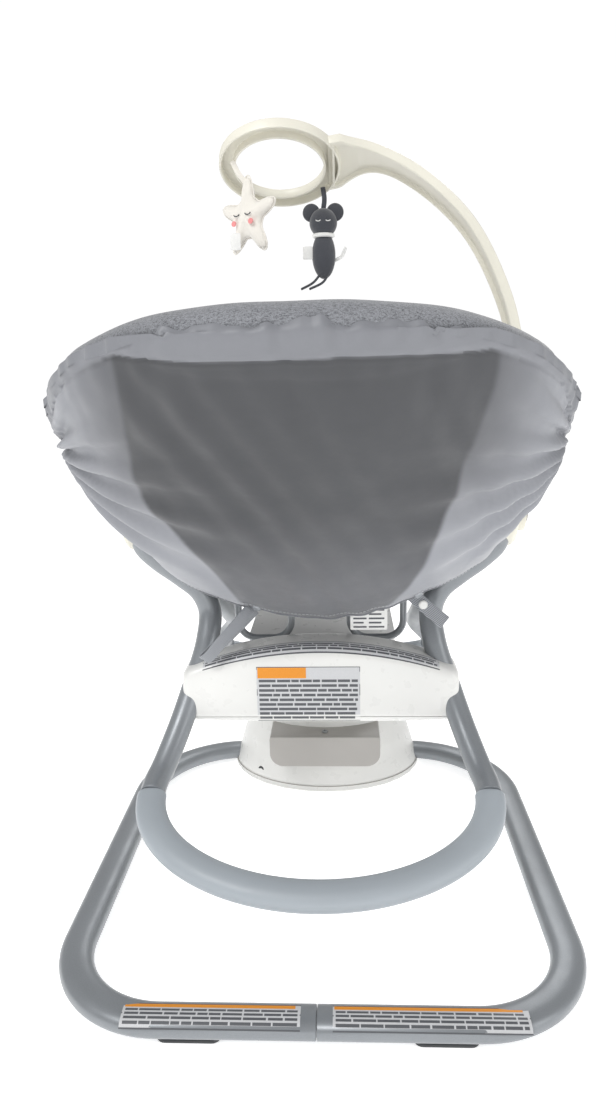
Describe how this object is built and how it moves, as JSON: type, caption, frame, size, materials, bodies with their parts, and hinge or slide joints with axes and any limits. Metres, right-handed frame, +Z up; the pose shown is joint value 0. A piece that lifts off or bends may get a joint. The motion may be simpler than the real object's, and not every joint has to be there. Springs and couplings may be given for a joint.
{
  "type": "baby swing",
  "caption": "Baby swing with a padded bucket seat on a tubular rocker frame, docked on a motor base with a floor loop, and a toy arm with hanging plush toys.",
  "frame": {"origin": "on the floor under the drive axis of the motor housing, on the bottom cover's flat underside", "axes": "+Z up, -Y towards the head end of the seat, +X to the side that carries the toy arm"},
  "size_m": [0.6218, 0.8857, 1.0036],
  "materials": {
    "tube_grey": "satin grey enamel",
    "grip_grey": "soft-touch light blue-grey plastic",
    "white_shell": "moulded white, low gloss",
    "silver_plastic": "silver-grey moulded plastic",
    "ivory_plastic": "warm ivory moulded plastic",
    "rubber": "matt",
    "steel": "plain",
    "rim_alloy": "plain",
    "brass": "machined",
    "dark_plastic": "matt",
    "board": "solder mask",
    "nylon": "thin woven nylon",
    "heather": "heathered grey knit",
    "cushion": "soft brushed knit",
    "webbing": "woven webbing",
    "plush_white": "short pile",
    "plush_slate": "short pile"
  },
  "bodies": {
    "base": {"base_tube_left": "tube_grey", "base_tube_right": "tube_grey", "base_tube_spigot": "steel", "foot_pad_front_left": "rubber", "foot_pad_front_right": "rubber", "foot_pad_rear_left": "rubber", "foot_pad_rear_right": "rubber", "base_housing": "white_shell", "base_bottom_cover": "white_shell", "arm_shroud": "silver_plastic", "shroud_screw": "steel", "power_socket": "dark_plastic", "control_panel": "silver_plastic", "drive_motor": "steel", "circuit_board": "board", "turret_bearing": "steel"},
    "wheel": {"worm_wheel": "ivory_plastic"},
    "worm": {"motor_worm": "brass"},
    "power_key": {"power_button": "white_shell"},
    "speed_key": {"speed_button": "white_shell"},
    "music_key": {"music_button": "white_shell"},
    "turret": {"turret_plate": "silver_plastic"},
    "carriage": {"glide_carriage": "silver_plastic", "dock_cradle": "white_shell"},
    "release": {"dock_release_lever": "silver_plastic"},
    "rocker": {"head_leg_left": "tube_grey", "head_leg_right": "tube_grey", "head_loop_grip": "grip_grey", "foot_leg_left": "tube_grey", "foot_leg_right": "tube_grey", "foot_loop_grip": "grip_grey", "cross_housing_upper": "white_shell", "cross_housing_lower": "white_shell", "vibration_motor": "steel", "battery_cell": "dark_plastic", "battery_door": "silver_plastic", "dock_shoe": "white_shell", "hub_housing_left": "ivory_plastic", "hub_housing_right": "ivory_plastic", "hub_cap_left": "ivory_plastic", "hub_cap_right": "ivory_plastic", "toy_bar_pin": "silver_plastic"},
    "vibration_key": {"vibration_button": "silver_plastic"},
    "seat": {"seat_rim_tube": "rim_alloy", "seat_rim_pad": "heather", "seat_sling": "nylon", "seat_pad": "cushion", "head_support": "cushion", "pivot_bracket_left": "steel", "pivot_bracket_right": "steel", "recline_bail_left": "steel", "recline_bail_right": "steel", "harness_strap_left": "webbing", "harness_strap_right": "webbing", "crotch_strap": "webbing", "harness_buckle": "dark_plastic"},
    "toy_arm": {"toy_bar": "ivory_plastic"},
    "star": {"plush_star": "plush_white"},
    "mouse": {"plush_mouse": "plush_slate"}
  },
  "joints": [
    {"name": "side_sway", "type": "hinge", "parent": "base", "child": "turret", "pos_m": [0, 0, 0.14], "axis": [0, 0, 1], "range_deg": [-9, 9]},
    {"name": "head_toe_glide", "type": "slide", "parent": "turret", "child": "carriage", "axis": [0, 1, 0], "range_m": [-0.02, 0.02]},
    {"name": "rocker_lift", "type": "slide", "parent": "carriage", "child": "rocker", "axis": [0, 0, 1], "range_m": [0, 0.12]},
    {"name": "seat_recline", "type": "hinge", "parent": "rocker", "child": "seat", "pos_m": [0, -0.24, 0.492], "axis": [1, 0, 0], "range_deg": [0, 12]},
    {"name": "toy_arm_fold", "type": "hinge", "parent": "rocker", "child": "toy_arm", "pos_m": [0.2729, -0.24, 0.492], "axis": [-1, 0, 0], "range_deg": [0, 60]},
    {"name": "star_swing", "type": "hinge", "parent": "toy_arm", "child": "star", "pos_m": [-0.11, -0.167, 0.965], "axis": [1, 0, 0], "range_deg": [-25, 25]},
    {"name": "mouse_swing", "type": "hinge", "parent": "toy_arm", "child": "mouse", "pos_m": [0.01, -0.101, 0.936], "axis": [1, 0, 0], "range_deg": [-25, 25]},
    {"name": "worm_wheel_spin", "type": "hinge", "parent": "base", "child": "wheel", "pos_m": [0, 0.044, 0.046], "axis": [0, 0, 1], "continuous": true},
    {"name": "worm_spin", "type": "hinge", "parent": "base", "child": "worm", "pos_m": [0, 0.0066, 0.046], "axis": [1, 0, 0], "continuous": true},
    {"name": "power_press", "type": "slide", "parent": "base", "child": "power_key", "axis": [0, -1, 0], "range_m": [0, 0.0015], "stiffness_N_per_m": 400},
    {"name": "speed_press", "type": "slide", "parent": "base", "child": "speed_key", "axis": [0, -1, 0], "range_m": [0, 0.0015], "stiffness_N_per_m": 400},
    {"name": "music_press", "type": "slide", "parent": "base", "child": "music_key", "axis": [0, -1, 0], "range_m": [0, 0.0015], "stiffness_N_per_m": 400},
    {"name": "vibration_press", "type": "slide", "parent": "rocker", "child": "vibration_key", "axis": [0, -1, 0], "range_m": [0, 0.0015], "stiffness_N_per_m": 400},
    {"name": "release_press", "type": "slide", "parent": "carriage", "child": "release", "axis": [0, -1, 0], "range_m": [0, 0.006], "stiffness_N_per_m": 500}
  ],
  "couplings": [
    {"joint": "worm_spin", "follows": "worm_wheel_spin", "ratio": 40}
  ]
}
